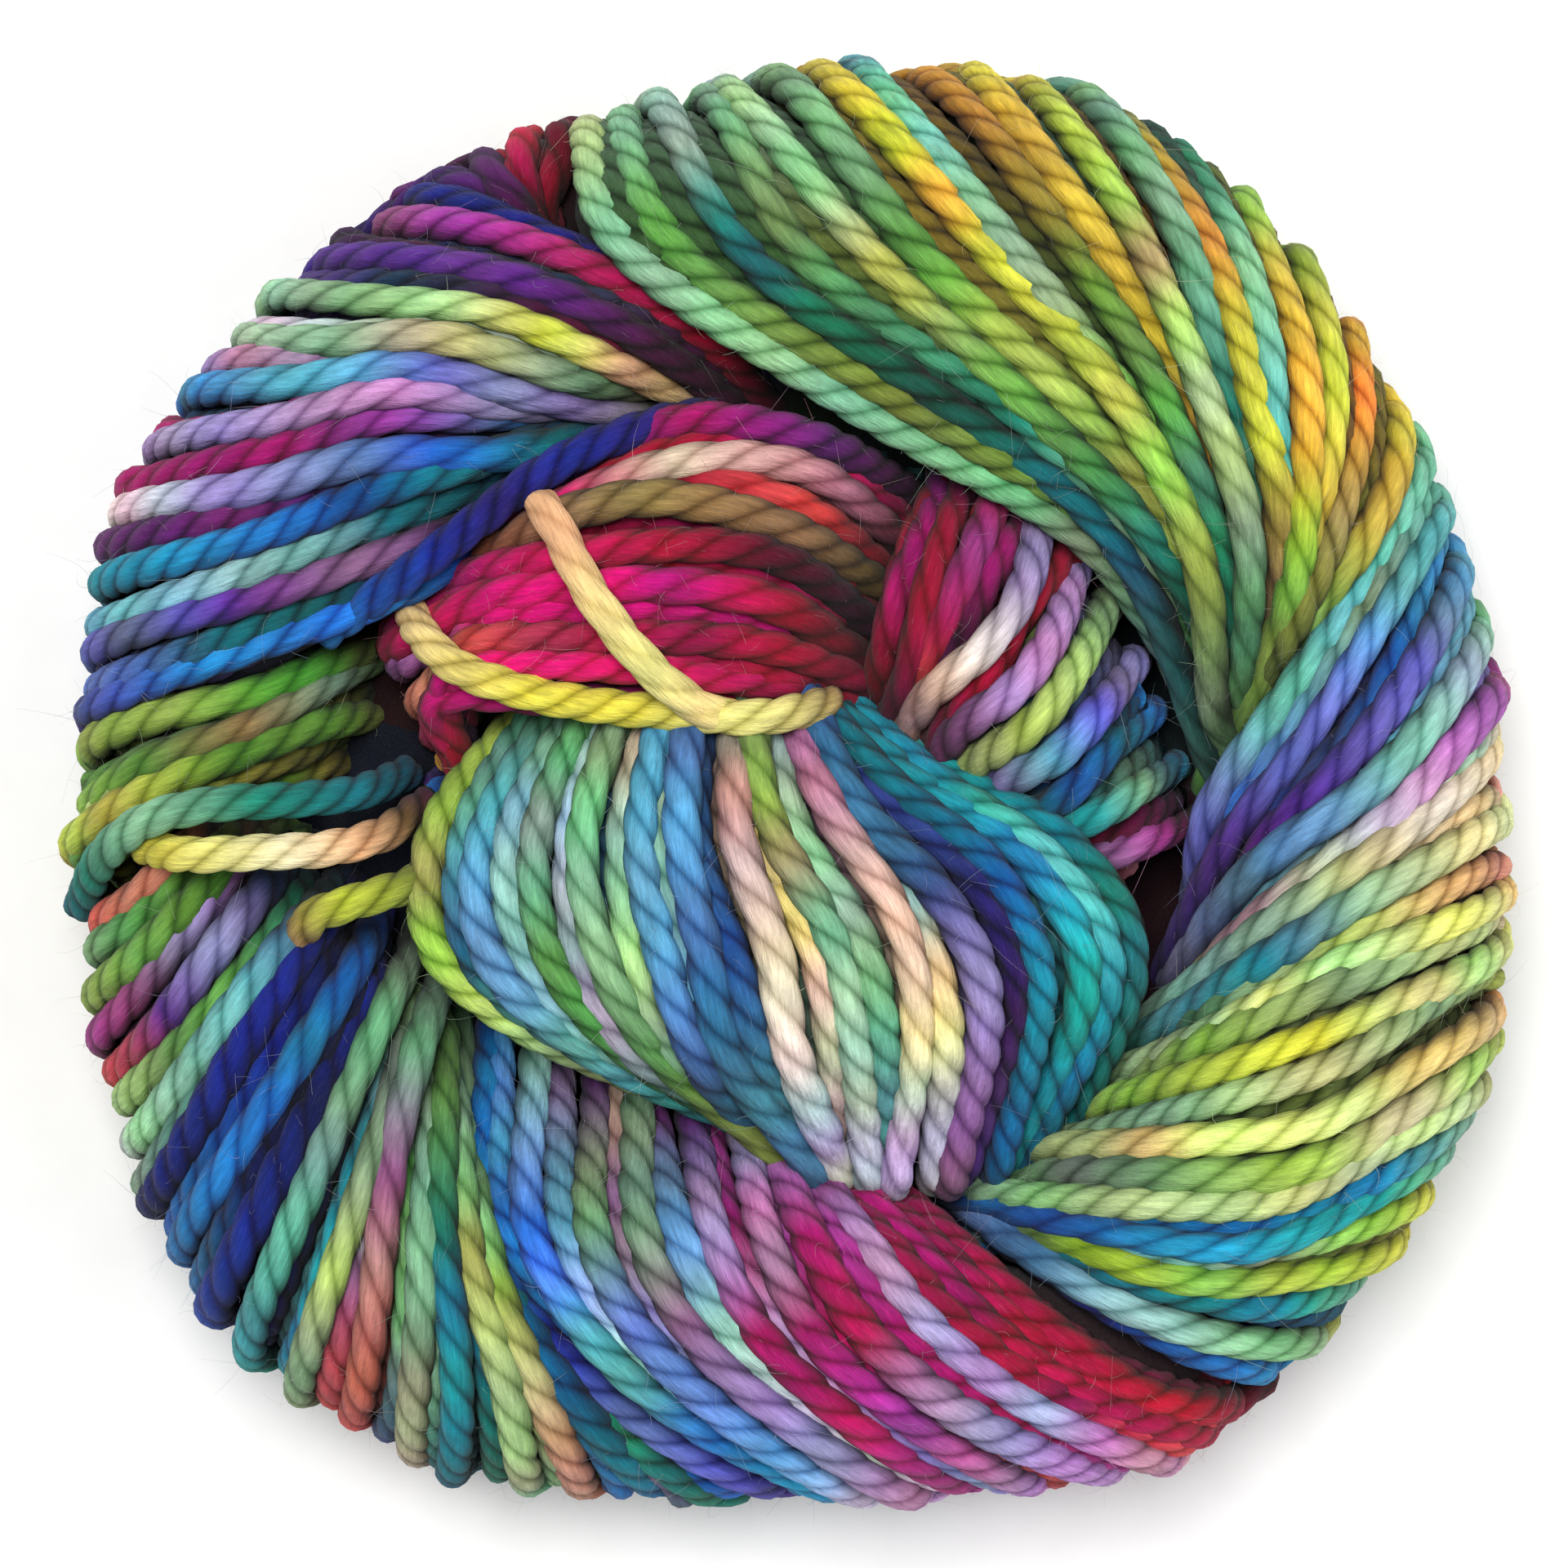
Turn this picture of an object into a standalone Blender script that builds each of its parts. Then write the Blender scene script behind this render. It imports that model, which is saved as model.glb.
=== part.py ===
# Skein of chunky plied knitting yarn, twisted on itself and coiled into a round nest
# One solid holds the wound form and its main twists, and a thin tube is the loose end
import math

import bmesh
import bpy
import numpy as np
from mathutils import Vector

MM = 0.001

# Driving sizes in millimetres
STRAND_RADIUS = 1.9
WAIST_HEIGHT = 21.0
ROPE_RADIUS = 17.0
FLOOR_DIP = 0.9
UNDER_INNER_RADIUS = 27.0
UNDER_TWIST_DEGREES = 52.0
UNDER_DIVE_START = 0.55
UNDER_DIVE_HEIGHT = 13.0
SIDE_SINK_SHARE = 0.22
UNDER_SINK_SHARE = 0.7
UNDER_SINK_LENGTH = 0.25

# Closed net of each bundle: stations across and along it, and how far its inner side lies
# from the anchor inside the nest, as a share of the way out to its skin
BUNDLE_SPAN_STEPS = 11
BUNDLE_LENGTH_STEPS = 27
BUNDLE_INNER_SHARE = 0.3
CENTRE_ANCHOR_SHARE = 0.85
SLOPE_STEP = 0.02

# One skin over everything: net size in metres, smoothing and number of triangles
FORM_VOXEL = 0.0015
FORM_SOFTENING = 0.5
FORM_SOFTENING_TURNS = 8
FORM_TRIANGLES = 8000

# Outline seen from above: radius in millimetres at every 20 degrees, anticlockwise from +X
OUTLINE_STEP = 20
OUTLINE_RADII = (74.3, 75.5, 77.2, 79.4, 76.1, 73.8, 74.4, 75.0, 76.0,
                 74.7, 77.4, 81.4, 80.9, 75.7, 75.1, 80.5, 80.1, 77.8)

# Bundles of strands: heights of the strand centres at five stations, from the outer start
# to the end that dives under the next bundle, and how far both edges of the bundle sink
# name: (kind, five heights, sunk start edge, sunk end edge)
LOBES = {
    "tail": ("ring", (35, 35, 35, 33, 28), 3, 3),
    "upper_right": ("ring", (43, 43, 43, 40, 24), 5, 7),
    "right": ("ring", (42, 42, 42, 39, 24), 7, 7),
    "lower_right": ("ring", (43, 43, 43, 40, 28), 7, 8),
    "lower_left": ("ring", (41, 41, 40, 35, 20), 8, 7),
    "left": ("ring", (37, 37, 35, 29, 16), 6, 5),
    "upper_left": ("ring", (42, 42, 42, 38, 22), 6, 7),
    "centre_right": ("inner", (30, 39, 42, 38, 26), 4, 10),
    "centre_upper": ("inner", (33, 42, 45, 43, 30), 6, 6),
    "centre_front": ("inner", (36, 46, 48.5, 46, 34), 12, 12),
    "under_one": ("under", (17, 9, 7, 9, 17), 7, 2),
    "under_two": ("under", (17, 9, 7, 9, 17), 2, 7),
}

# Edge, middle and edge strands of each bundle, seen from above, as five (x, y) stations
# in millimetres from the centre of the nest
# lobe, outer start, quarter, half, three quarters, end
STRANDS = (
    ("tail", (-46, 59), (-38, 62), (-33, 61), (-31, 58), (-27, 55)),
    ("tail", (-35, 66), (-32, 66), (-30, 62), (-28, 59), (-26, 55)),
    ("tail", (-20, 70), (-23, 66), (-25, 63), (-26, 60), (-24, 56)),
    ("upper_right", (-23, 69), (-20, 54), (3, 39), (29, 25), (43, 3)),
    ("upper_right", (-1, 74), (15, 54), (30, 38), (40, 22), (44, 3)),
    ("upper_right", (31, 72), (40, 54), (45, 38), (48, 22), (45, 3)),
    ("upper_right", (66, 37), (63, 30), (58, 23), (51, 14), (45, 3)),
    ("right", (67, 38), (58, 23), (49, 9), (41, -4), (39, -19)),
    ("right", (73, 17), (65, 7), (57, -2), (48, -9), (40, -19)),
    ("right", (75, -8), (64, -12), (54, -16), (44, -22), (35, -28)),
    ("right", (70, -31), (60, -36), (48, -42), (33, -42), (19, -42)),
    ("right", (54, -63), (44, -61), (33, -55), (25, -49), (17, -43)),
    ("lower_right", (53, -64), (39, -61), (28, -54), (20, -48), (10, -41)),
    ("lower_right", (24, -73), (9, -63), (-1, -54), (-6, -44), (-8, -35)),
    ("lower_right", (-1, -73), (-14, -65), (-26, -54), (-33, -43), (-34, -27)),
    ("lower_left", (3, -74), (-10, -69), (-22, -59), (-30, -49), (-36, -24)),
    ("lower_left", (-35, -71), (-34, -56), (-35, -43), (-35, -31), (-36, -20)),
    ("lower_left", (-62, -51), (-55, -39), (-49, -28), (-44, -19), (-41, -13)),
    ("lower_left", (-74, -13), (-68, -10), (-64, -7), (-61, -4), (-59, -2)),
    ("left", (-74, -12), (-69, -7), (-61, -2), (-51, 0), (-44, 3)),
    ("left", (-74, -3), (-64, 2), (-55, 5), (-47, 9), (-42, 12)),
    ("left", (-74, 7), (-64, 9), (-54, 11), (-47, 14), (-42, 18)),
    ("upper_left", (-74, 5), (-58, 11), (-42, 17), (-28, 25), (-12, 38)),
    ("upper_left", (-64, 39), (-50, 39), (-38, 41), (-26, 39), (-12, 38)),
    ("upper_left", (-42, 62), (-30, 59), (-17, 53), (-7, 47), (1, 39)),
    ("centre_right", (14, 33), (12, 26), (10, 20), (9, 13), (8, 7)),
    ("centre_right", (26, 26), (23, 20), (19, 13), (15, 8), (11, 2)),
    ("centre_right", (42, -6), (38, -7), (34, -8), (30, -8), (26, -8)),
    ("centre_upper", (-26, 25), (-18, 33), (-9, 37), (3, 36), (13, 31)),
    ("centre_upper", (-37, 19), (-26, 22), (-13, 23), (-1, 21), (9, 15)),
    ("centre_upper", (-33, 0), (-36, 8), (-22, 8), (-5, 7), (8, 7)),
    ("centre_front", (-27, 9), (-36, -4), (-36, -16), (-25, -25), (-7, -33)),
    ("centre_front", (-7, 12), (-7, -4), (-3, -16), (-1, -26), (3, -37)),
    ("centre_front", (5, 10), (17, 2), (30, -5), (37, -17), (30, -36)),
    ("under_one", (-30, 13), (-17, 22), (0, 26), (17, 23), (31, 13)),
    ("under_one", (-33, -3), (-17, 1), (0, 3), (17, 2), (32, -2)),
    ("under_two", (32, -1), (17, -1), (0, -1), (-17, -3), (-32, -6)),
    ("under_two", (28, -17), (15, -24), (0, -27), (-15, -25), (-29, -17)),
)

# Side of the block that cuts the resting patches flat, in metres
FLOOR_CUTTER_SIZE = 0.2

# Body under the bundles: a ring and a filled middle, in millimetres
CORE_RING_RADIUS = 52.0
CORE_RING_THICKNESS = 8.5
CORE_MIDDLE_RADIUS = 30.0
CORE_MIDDLE_BOTTOM = 10.0
CORE_MIDDLE_TOP = 34.0
CORE_FILL_TOP = 28.0
CORE_RING_STEPS = 48
CORE_SIDE_STEPS = 16

# Loose end: (x, y, z) of its route in millimetres, from where it leaves the nest to its tip
LOOSE_END_GAP = 0.3
LOOSE_END_STEPS = 11
LOOSE_END_ROUTE = (
    (-3.5, 6.5, 40.2),
    (-9.0, 8.0, 43.0),
    (-14.5, 12.5, 47.0),
    (-19.5, 19.0, 48.2),
    (-23.0, 25.5, 46.0),
    (-25.0, 28.6, 43.2),
)


def remove_existing_objects():
    for item in list(bpy.data.objects):
        bpy.data.objects.remove(item, do_unlink=True)


def plain_material(name, colour, roughness):
    material = bpy.data.materials.new(name)
    material.use_nodes = True
    shader = material.node_tree.nodes["Principled BSDF"]
    shader.inputs["Base Color"].default_value = (*colour, 1.0)
    shader.inputs["Roughness"].default_value = roughness
    shader.inputs["Metallic"].default_value = 0.0
    material.diffuse_color = (*colour, 1.0)
    return material


def smooth_value(knots, values, place):
    """Value at a place on the smooth curve that passes through the values at their knots."""
    span = min(max(int(np.searchsorted(knots, place)) - 1, 0), len(knots) - 2)
    slopes = []
    for index in (span, span + 1):
        before = max(index - 1, 0)
        after = min(index + 1, len(knots) - 1)
        slopes.append((values[after] - values[before]) / (knots[after] - knots[before]))
    width = knots[span + 1] - knots[span]
    s = (place - knots[span]) / width
    start_part = (2 * s ** 3 - 3 * s ** 2 + 1) * values[span]
    start_slope = (s ** 3 - 2 * s ** 2 + s) * width * slopes[0]
    end_part = (-2 * s ** 3 + 3 * s ** 2) * values[span + 1]
    end_slope = (s ** 3 - s ** 2) * width * slopes[1]
    return start_part + start_slope + end_part + end_slope


def outline_radius(angle):
    """Radius of the outermost strand centres at an angle in radians."""
    turn = math.degrees(angle) % 360.0
    reach = range(-2, len(OUTLINE_RADII) + 3)
    knots = np.array([index * OUTLINE_STEP for index in reach], float)
    values = np.array([OUTLINE_RADII[index % len(OUTLINE_RADII)] for index in reach])
    return smooth_value(knots, values, turn) - STRAND_RADIUS


def round_shoulder(depth):
    """Rise of a round shoulder, 0 at its side and 1 on top, at a depth in from the side."""
    inward = 1.0 - min(max(depth / ROPE_RADIUS, 0.0), 1.0)
    return math.sqrt(1.0 - inward ** 2)


def edge_sink(lobe, across):
    """How far the bundle sinks towards its two edges."""
    start_sink, end_sink = LOBES[lobe][2:]
    start_share = max(1.0 - 2.0 * across, 0.0) ** 3
    end_share = max(2.0 * across - 1.0, 0.0) ** 3
    return start_sink * start_share + end_sink * end_share


def plan_point(lobe, across, along):
    """Place of a strand centre seen from above: across and along run from 0 to 1."""
    rails = [np.array(row[1:], float) for row in STRANDS if row[0] == lobe]
    stations = np.linspace(0.0, 1.0, len(rails[0]))
    crossing = np.array([smooth_value(stations, rail, along) for rail in rails])
    return smooth_value(np.linspace(0.0, 1.0, len(rails)), crossing, across)


def top_point(lobe, across, along):
    """Strand centre on the top of a bundle."""
    kind, heights = LOBES[lobe][:2]
    x, y = plan_point(lobe, across, along)
    stations = np.linspace(0.0, 1.0, len(heights))
    height = smooth_value(stations, np.array(heights, float), along)
    if kind == "under":
        return np.array((x, y, height + edge_sink(lobe, across)))
    height -= edge_sink(lobe, across)
    if kind == "ring":
        angle = math.atan2(y, x)
        radius = outline_radius(angle) - SIDE_SINK_SHARE * edge_sink(lobe, across)
        place = min(math.hypot(x, y), radius)
        height = WAIST_HEIGHT + (height - WAIST_HEIGHT) * round_shoulder(radius - place)
        x = place * math.cos(angle)
        y = place * math.sin(angle)
    return np.array((x, y, height))


def under_point(lobe, across, back):
    """Strand centre on the underside of a ring bundle, back from the outline."""
    x, y = plan_point(lobe, across, 0.0)
    angle = math.atan2(y, x) + math.radians(UNDER_TWIST_DEGREES) * back
    sink = edge_sink(lobe, across)
    reach = outline_radius(angle) - SIDE_SINK_SHARE * sink
    place = reach - (reach - UNDER_INNER_RADIUS) * back
    dive = max(back - UNDER_DIVE_START, 0.0) / (1.0 - UNDER_DIVE_START)
    rest = STRAND_RADIUS - FLOOR_DIP + UNDER_DIVE_HEIGHT * dive ** 2
    rest += UNDER_SINK_SHARE * sink * min(back / UNDER_SINK_LENGTH, 1.0)
    height = WAIST_HEIGHT - (WAIST_HEIGHT - rest) * round_shoulder(reach - place)
    return np.array((place * math.cos(angle), place * math.sin(angle), height))


def strand_centre(lobe, across, along):
    if along < 0.0:
        return under_point(lobe, across, -along)
    return top_point(lobe, across, along)


def skin_point(lobe, across, along, anchor):
    """Outer skin: one strand radius out from the strand centres, away from the anchor."""
    low_across = max(across - SLOPE_STEP, 0.0)
    high_across = min(across + SLOPE_STEP, 1.0)
    low_along = max(along - SLOPE_STEP, lobe_start(lobe))
    high_along = min(along + SLOPE_STEP, 1.0)
    sideways = strand_centre(lobe, high_across, along) - strand_centre(lobe, low_across, along)
    forward = strand_centre(lobe, across, high_along) - strand_centre(lobe, across, low_along)
    normal = np.cross(sideways, forward)
    normal /= max(np.linalg.norm(normal), 1e-9)
    centre = strand_centre(lobe, across, along)
    if np.dot(normal, centre - anchor) < 0.0:
        normal = -normal
    return centre + STRAND_RADIUS * normal


def station_places(lobe):
    """Places along a bundle, closer together where it turns round its side."""
    places = np.linspace(lobe_start(lobe), 1.0, BUNDLE_LENGTH_STEPS)
    if LOBES[lobe][0] == "ring":
        return places * np.abs(places)
    return places


def lobe_start(lobe):
    return -1.0 if LOBES[lobe][0] == "ring" else 0.0


def lobe_anchor(lobe, centre):
    """Point inside the nest that a place on the bundle faces away from."""
    kind = LOBES[lobe][0]
    if kind == "ring":
        angle = math.atan2(centre[1], centre[0])
        ring = CORE_RING_RADIUS
        return np.array((ring * math.cos(angle), ring * math.sin(angle), WAIST_HEIGHT))
    depth = CORE_MIDDLE_TOP if kind == "under" else CORE_MIDDLE_BOTTOM
    return np.array((*(CENTRE_ANCHOR_SHARE * centre[:2]), depth))


def add_bundle(mesh, lobe):
    """One closed bundle: its skin outside, and the same net drawn in towards the anchors."""
    outer_rows = []
    inner_rows = []
    for along in station_places(lobe):
        outer = []
        inner = []
        for across in np.linspace(0.0, 1.0, BUNDLE_SPAN_STEPS):
            centre = strand_centre(lobe, across, along)
            anchor = lobe_anchor(lobe, centre)
            skin = skin_point(lobe, across, along, anchor)
            outer.append(mesh.verts.new(Vector(skin * MM)))
            drawn_in = anchor + BUNDLE_INNER_SHARE * (skin - anchor)
            inner.append(mesh.verts.new(Vector(drawn_in * MM)))
        outer_rows.append(outer)
        inner_rows.append(inner)
    last_row = BUNDLE_LENGTH_STEPS - 1
    last_column = BUNDLE_SPAN_STEPS - 1
    for row in range(last_row):
        for column in range(last_column):
            for net in (outer_rows, inner_rows):
                corners = (net[row][column], net[row][column + 1],
                           net[row + 1][column + 1], net[row + 1][column])
                mesh.faces.new(corners)
        for column in (0, last_column):
            mesh.faces.new((outer_rows[row][column], outer_rows[row + 1][column],
                            inner_rows[row + 1][column], inner_rows[row][column]))
    for row in (0, last_row):
        for column in range(last_column):
            mesh.faces.new((outer_rows[row][column], outer_rows[row][column + 1],
                            inner_rows[row][column + 1], inner_rows[row][column]))


def add_core(mesh):
    """Ring and filled middle under the bundles."""
    loops = []
    for turn in np.linspace(0.0, 2.0 * math.pi, CORE_RING_STEPS, endpoint=False):
        loop = []
        for lean in np.linspace(0.0, 2.0 * math.pi, CORE_SIDE_STEPS, endpoint=False):
            place = CORE_RING_RADIUS + CORE_RING_THICKNESS * math.cos(lean)
            height = WAIST_HEIGHT + CORE_RING_THICKNESS * math.sin(lean)
            point = Vector((place * math.cos(turn), place * math.sin(turn), height))
            loop.append(mesh.verts.new(point * MM))
        loops.append(loop)
    for index in range(CORE_RING_STEPS):
        after = loops[(index + 1) % CORE_RING_STEPS]
        for side in range(CORE_SIDE_STEPS):
            beside = (side + 1) % CORE_SIDE_STEPS
            mesh.faces.new((loops[index][side], after[side],
                            after[beside], loops[index][beside]))
    height = (CORE_MIDDLE_BOTTOM + CORE_FILL_TOP) / 2.0
    depth = CORE_FILL_TOP - CORE_MIDDLE_BOTTOM
    middle = bmesh.ops.create_cone(mesh, cap_ends=True, segments=CORE_RING_STEPS,
                                   radius1=CORE_MIDDLE_RADIUS * MM,
                                   radius2=CORE_MIDDLE_RADIUS * MM, depth=depth * MM)
    bmesh.ops.translate(mesh, verts=middle["verts"], vec=(0.0, 0.0, height * MM))


def smooth_route(points, steps):
    """Evenly spaced points on a smooth curve through the route."""
    places = np.array(points, float)
    lengths = np.linalg.norm(np.diff(places, axis=0), axis=1)
    knots = np.concatenate(((0.0,), np.cumsum(lengths)))
    return [smooth_value(knots, places, place) for place in np.linspace(0.0, knots[-1], steps)]


def make_tube(name, points, radius, material):
    curve = bpy.data.curves.new(name, "CURVE")
    curve.dimensions = "3D"
    curve.bevel_depth = radius * MM
    curve.bevel_resolution = 2
    curve.use_fill_caps = True
    spline = curve.splines.new("POLY")
    spline.points.add(len(points) - 1)
    for target, point in zip(spline.points, points):
        target.co = (*(point * MM), 1.0)
    tube = bpy.data.objects.new(name, curve)
    tube.data.materials.append(material)
    bpy.context.scene.collection.objects.link(tube)
    return tube


def hide_cutter(cutter):
    cutter.hide_render = True
    cutter.display_type = "WIRE"


def cut_away(target, cutter):
    hide_cutter(cutter)
    cut = target.modifiers.new("cut " + cutter.name, "BOOLEAN")
    cut.operation = "DIFFERENCE"
    cut.solver = "EXACT"
    cut.object = cutter


def make_floor_cutter():
    """Block whose top is the surface that the nest rests on."""
    mesh = bmesh.new()
    bmesh.ops.create_cube(mesh, size=FLOOR_CUTTER_SIZE)
    bmesh.ops.translate(mesh, verts=mesh.verts, vec=(0.0, 0.0, -FLOOR_CUTTER_SIZE / 2.0))
    data = bpy.data.meshes.new("floor_cutter")
    mesh.to_mesh(data)
    mesh.free()
    cutter = bpy.data.objects.new("floor_cutter", data)
    bpy.context.scene.collection.objects.link(cutter)
    return cutter


def make_groove_cutter(points, material):
    """Mesh tube a little wider than the loose end, which cuts the bed that it lies in."""
    guide = make_tube("groove_guide", points, STRAND_RADIUS + LOOSE_END_GAP, material)
    bpy.context.view_layer.update()
    shown = guide.evaluated_get(bpy.context.evaluated_depsgraph_get())
    data = bpy.data.meshes.new_from_object(shown)
    cutter = bpy.data.objects.new("groove_cutter", data)
    bpy.context.scene.collection.objects.link(cutter)
    bpy.data.objects.remove(guide, do_unlink=True)
    return cutter


def make_hank(material):
    """The wound yarn: all bundles and the core grown into one skin, flat where it rests."""
    mesh = bmesh.new()
    add_core(mesh)
    for lobe in LOBES:
        add_bundle(mesh, lobe)
    bmesh.ops.recalc_face_normals(mesh, faces=mesh.faces)
    data = bpy.data.meshes.new("hank")
    mesh.to_mesh(data)
    mesh.free()
    data.materials.append(material)
    hank = bpy.data.objects.new("hank", data)
    bpy.context.scene.collection.objects.link(hank)
    skin = hank.modifiers.new("one skin", "REMESH")
    skin.mode = "VOXEL"
    skin.voxel_size = FORM_VOXEL
    skin.use_smooth_shade = True
    soften = hank.modifiers.new("soft yarn", "SMOOTH")
    soften.factor = FORM_SOFTENING
    soften.iterations = FORM_SOFTENING_TURNS
    thin = hank.modifiers.new("fewer faces", "DECIMATE")
    thin.decimate_type = "COLLAPSE"
    bpy.context.view_layer.update()
    count = count_triangles(hank)
    thin.ratio = min(FORM_TRIANGLES / count, 1.0)
    return hank


def count_triangles(item):
    shown = item.evaluated_get(bpy.context.evaluated_depsgraph_get())
    data = shown.to_mesh()
    data.calc_loop_triangles()
    count = len(data.loop_triangles)
    shown.to_mesh_clear()
    return count


remove_existing_objects()
wool = plain_material("dyed_wool", (0.16, 0.42, 0.44), 0.92)
pale_wool = plain_material("pale_dyed_wool", (0.86, 0.76, 0.45), 0.92)

route = smooth_route(LOOSE_END_ROUTE, LOOSE_END_STEPS)
hank = make_hank(wool)
cut_away(hank, make_floor_cutter())
cut_away(hank, make_groove_cutter(route, pale_wool))
loose_end = make_tube("loose_end", route, STRAND_RADIUS, pale_wool)
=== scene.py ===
import math

import bpy
import numpy as np
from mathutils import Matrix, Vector


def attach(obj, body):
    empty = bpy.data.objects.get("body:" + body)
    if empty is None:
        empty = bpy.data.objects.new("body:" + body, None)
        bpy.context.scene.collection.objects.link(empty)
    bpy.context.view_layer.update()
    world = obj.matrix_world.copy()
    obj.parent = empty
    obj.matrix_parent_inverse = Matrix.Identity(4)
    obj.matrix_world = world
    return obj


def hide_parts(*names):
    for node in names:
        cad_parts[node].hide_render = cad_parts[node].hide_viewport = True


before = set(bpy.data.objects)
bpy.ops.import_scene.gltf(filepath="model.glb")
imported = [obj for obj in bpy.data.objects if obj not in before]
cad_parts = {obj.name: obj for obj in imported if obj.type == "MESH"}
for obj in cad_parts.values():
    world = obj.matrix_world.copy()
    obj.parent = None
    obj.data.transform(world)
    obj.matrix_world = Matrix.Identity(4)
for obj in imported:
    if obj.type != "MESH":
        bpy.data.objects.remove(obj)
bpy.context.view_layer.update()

MM = 0.001


# Studio. A plain pale table under soft boxes, seen from straight above. The camera looks
# down at the middle of the nest from about half a metre.
CAMERA_PLACE = (-0.00068, 0.00042, 0.496)
CAMERA_LENS = 105.3
FLOOR_SIZE = 6.0
FLOOR_DROP = 0.0002

camera_data = bpy.data.cameras.new("camera")
camera_data.sensor_width = 36.0
camera_data.sensor_fit = "HORIZONTAL"
camera_data.lens = CAMERA_LENS
camera_data.clip_start = 0.01
camera = bpy.data.objects.new("camera", camera_data)
camera.location = CAMERA_PLACE
bpy.context.scene.collection.objects.link(camera)
bpy.context.scene.camera = camera
bpy.context.scene.view_settings.view_transform = "Standard"


def add_soft_box(name, place, size, power, colour):
    """Square area light that faces the nest."""
    light = bpy.data.lights.new(name, "AREA")
    light.shape = "SQUARE"
    light.size = size
    light.energy = power
    light.color = colour
    box = bpy.data.objects.new(name, light)
    box.location = place
    box.rotation_euler = (-Vector(place)).to_track_quat("-Z", "Y").to_euler()
    bpy.context.scene.collection.objects.link(box)


add_soft_box("key_light", (-0.12, 0.22, 1.05), 0.45, 10.5, (1.0, 0.99, 0.97))
add_soft_box("fill_light", (0.75, -0.15, 0.75), 0.7, 4.0, (0.97, 0.98, 1.0))

world = bpy.data.worlds.new("studio_air")
world.use_nodes = True
sky = world.node_tree.nodes["Background"]
sky.inputs["Color"].default_value = (1.0, 1.0, 1.0, 1.0)
sky.inputs["Strength"].default_value = 0.32
bpy.context.scene.world = world

table_mesh = bpy.data.meshes.new("table_top")
half = FLOOR_SIZE / 2.0
table_mesh.from_pydata(
    [(-half, -half, -FLOOR_DROP), (half, -half, -FLOOR_DROP),
     (half, half, -FLOOR_DROP), (-half, half, -FLOOR_DROP)],
    [], [(0, 1, 2, 3)])
table_top = bpy.data.objects.new("table_top", table_mesh)
bpy.context.scene.collection.objects.link(table_top)

white_card = bpy.data.materials.new("white_card")
white_card.use_nodes = True
card_nodes = white_card.node_tree.nodes
card_links = white_card.node_tree.links
card_shader = card_nodes["Principled BSDF"]
card_shader.inputs["Specular IOR Level"].default_value = 0.1
card_tooth = card_nodes.new("ShaderNodeTexNoise")
card_tooth.inputs["Scale"].default_value = 900.0
card_tone = card_nodes.new("ShaderNodeMapRange")
card_tone.inputs["To Min"].default_value = 0.86
card_tone.inputs["To Max"].default_value = 0.92
card_colour = card_nodes.new("ShaderNodeCombineColor")
card_links.new(card_tooth.outputs["Fac"], card_tone.inputs["Value"])
for channel in ("Red", "Green", "Blue"):
    card_links.new(card_tone.outputs["Result"], card_colour.inputs[channel])
card_links.new(card_colour.outputs["Color"], card_shader.inputs["Base Color"])
card_rough = card_nodes.new("ShaderNodeMapRange")
card_rough.inputs["To Min"].default_value = 0.75
card_rough.inputs["To Max"].default_value = 0.95
card_links.new(card_tooth.outputs["Fac"], card_rough.inputs["Value"])
card_links.new(card_rough.outputs["Result"], card_shader.inputs["Roughness"])
table_mesh.materials.append(white_card)


# Loose end. The free end of the yarn lies on top of the nest: three soft plies of wool
# spun round each other, cut off bluntly, dyed cream at the tip and pale yellow below.
STRAND_RADIUS = 1.9
PLY_COUNT = 3
PLY_PITCH = 11.2
PLY_OFFSET = 0.26
PLY_SIZE = 0.74
# Painted shade on the strand flanks that face into the hank: how far round it reaches and how dark it
# goes.
FLANK_START = 0.85
FLANK_END = -0.25
FLANK_SHADE_DEPTH = 0.45
FLANK_SHADE = 0.72
LOOSE_END_ROUTE = (
    (-3.5, 6.5, 40.2),
    (-9.0, 8.0, 43.0),
    (-14.5, 12.5, 47.0),
    (-19.5, 19.0, 48.2),
    (-23.0, 25.5, 46.0),
    (-25.0, 28.6, 43.2),
)
DYE_DEPTH = 1.2

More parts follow.
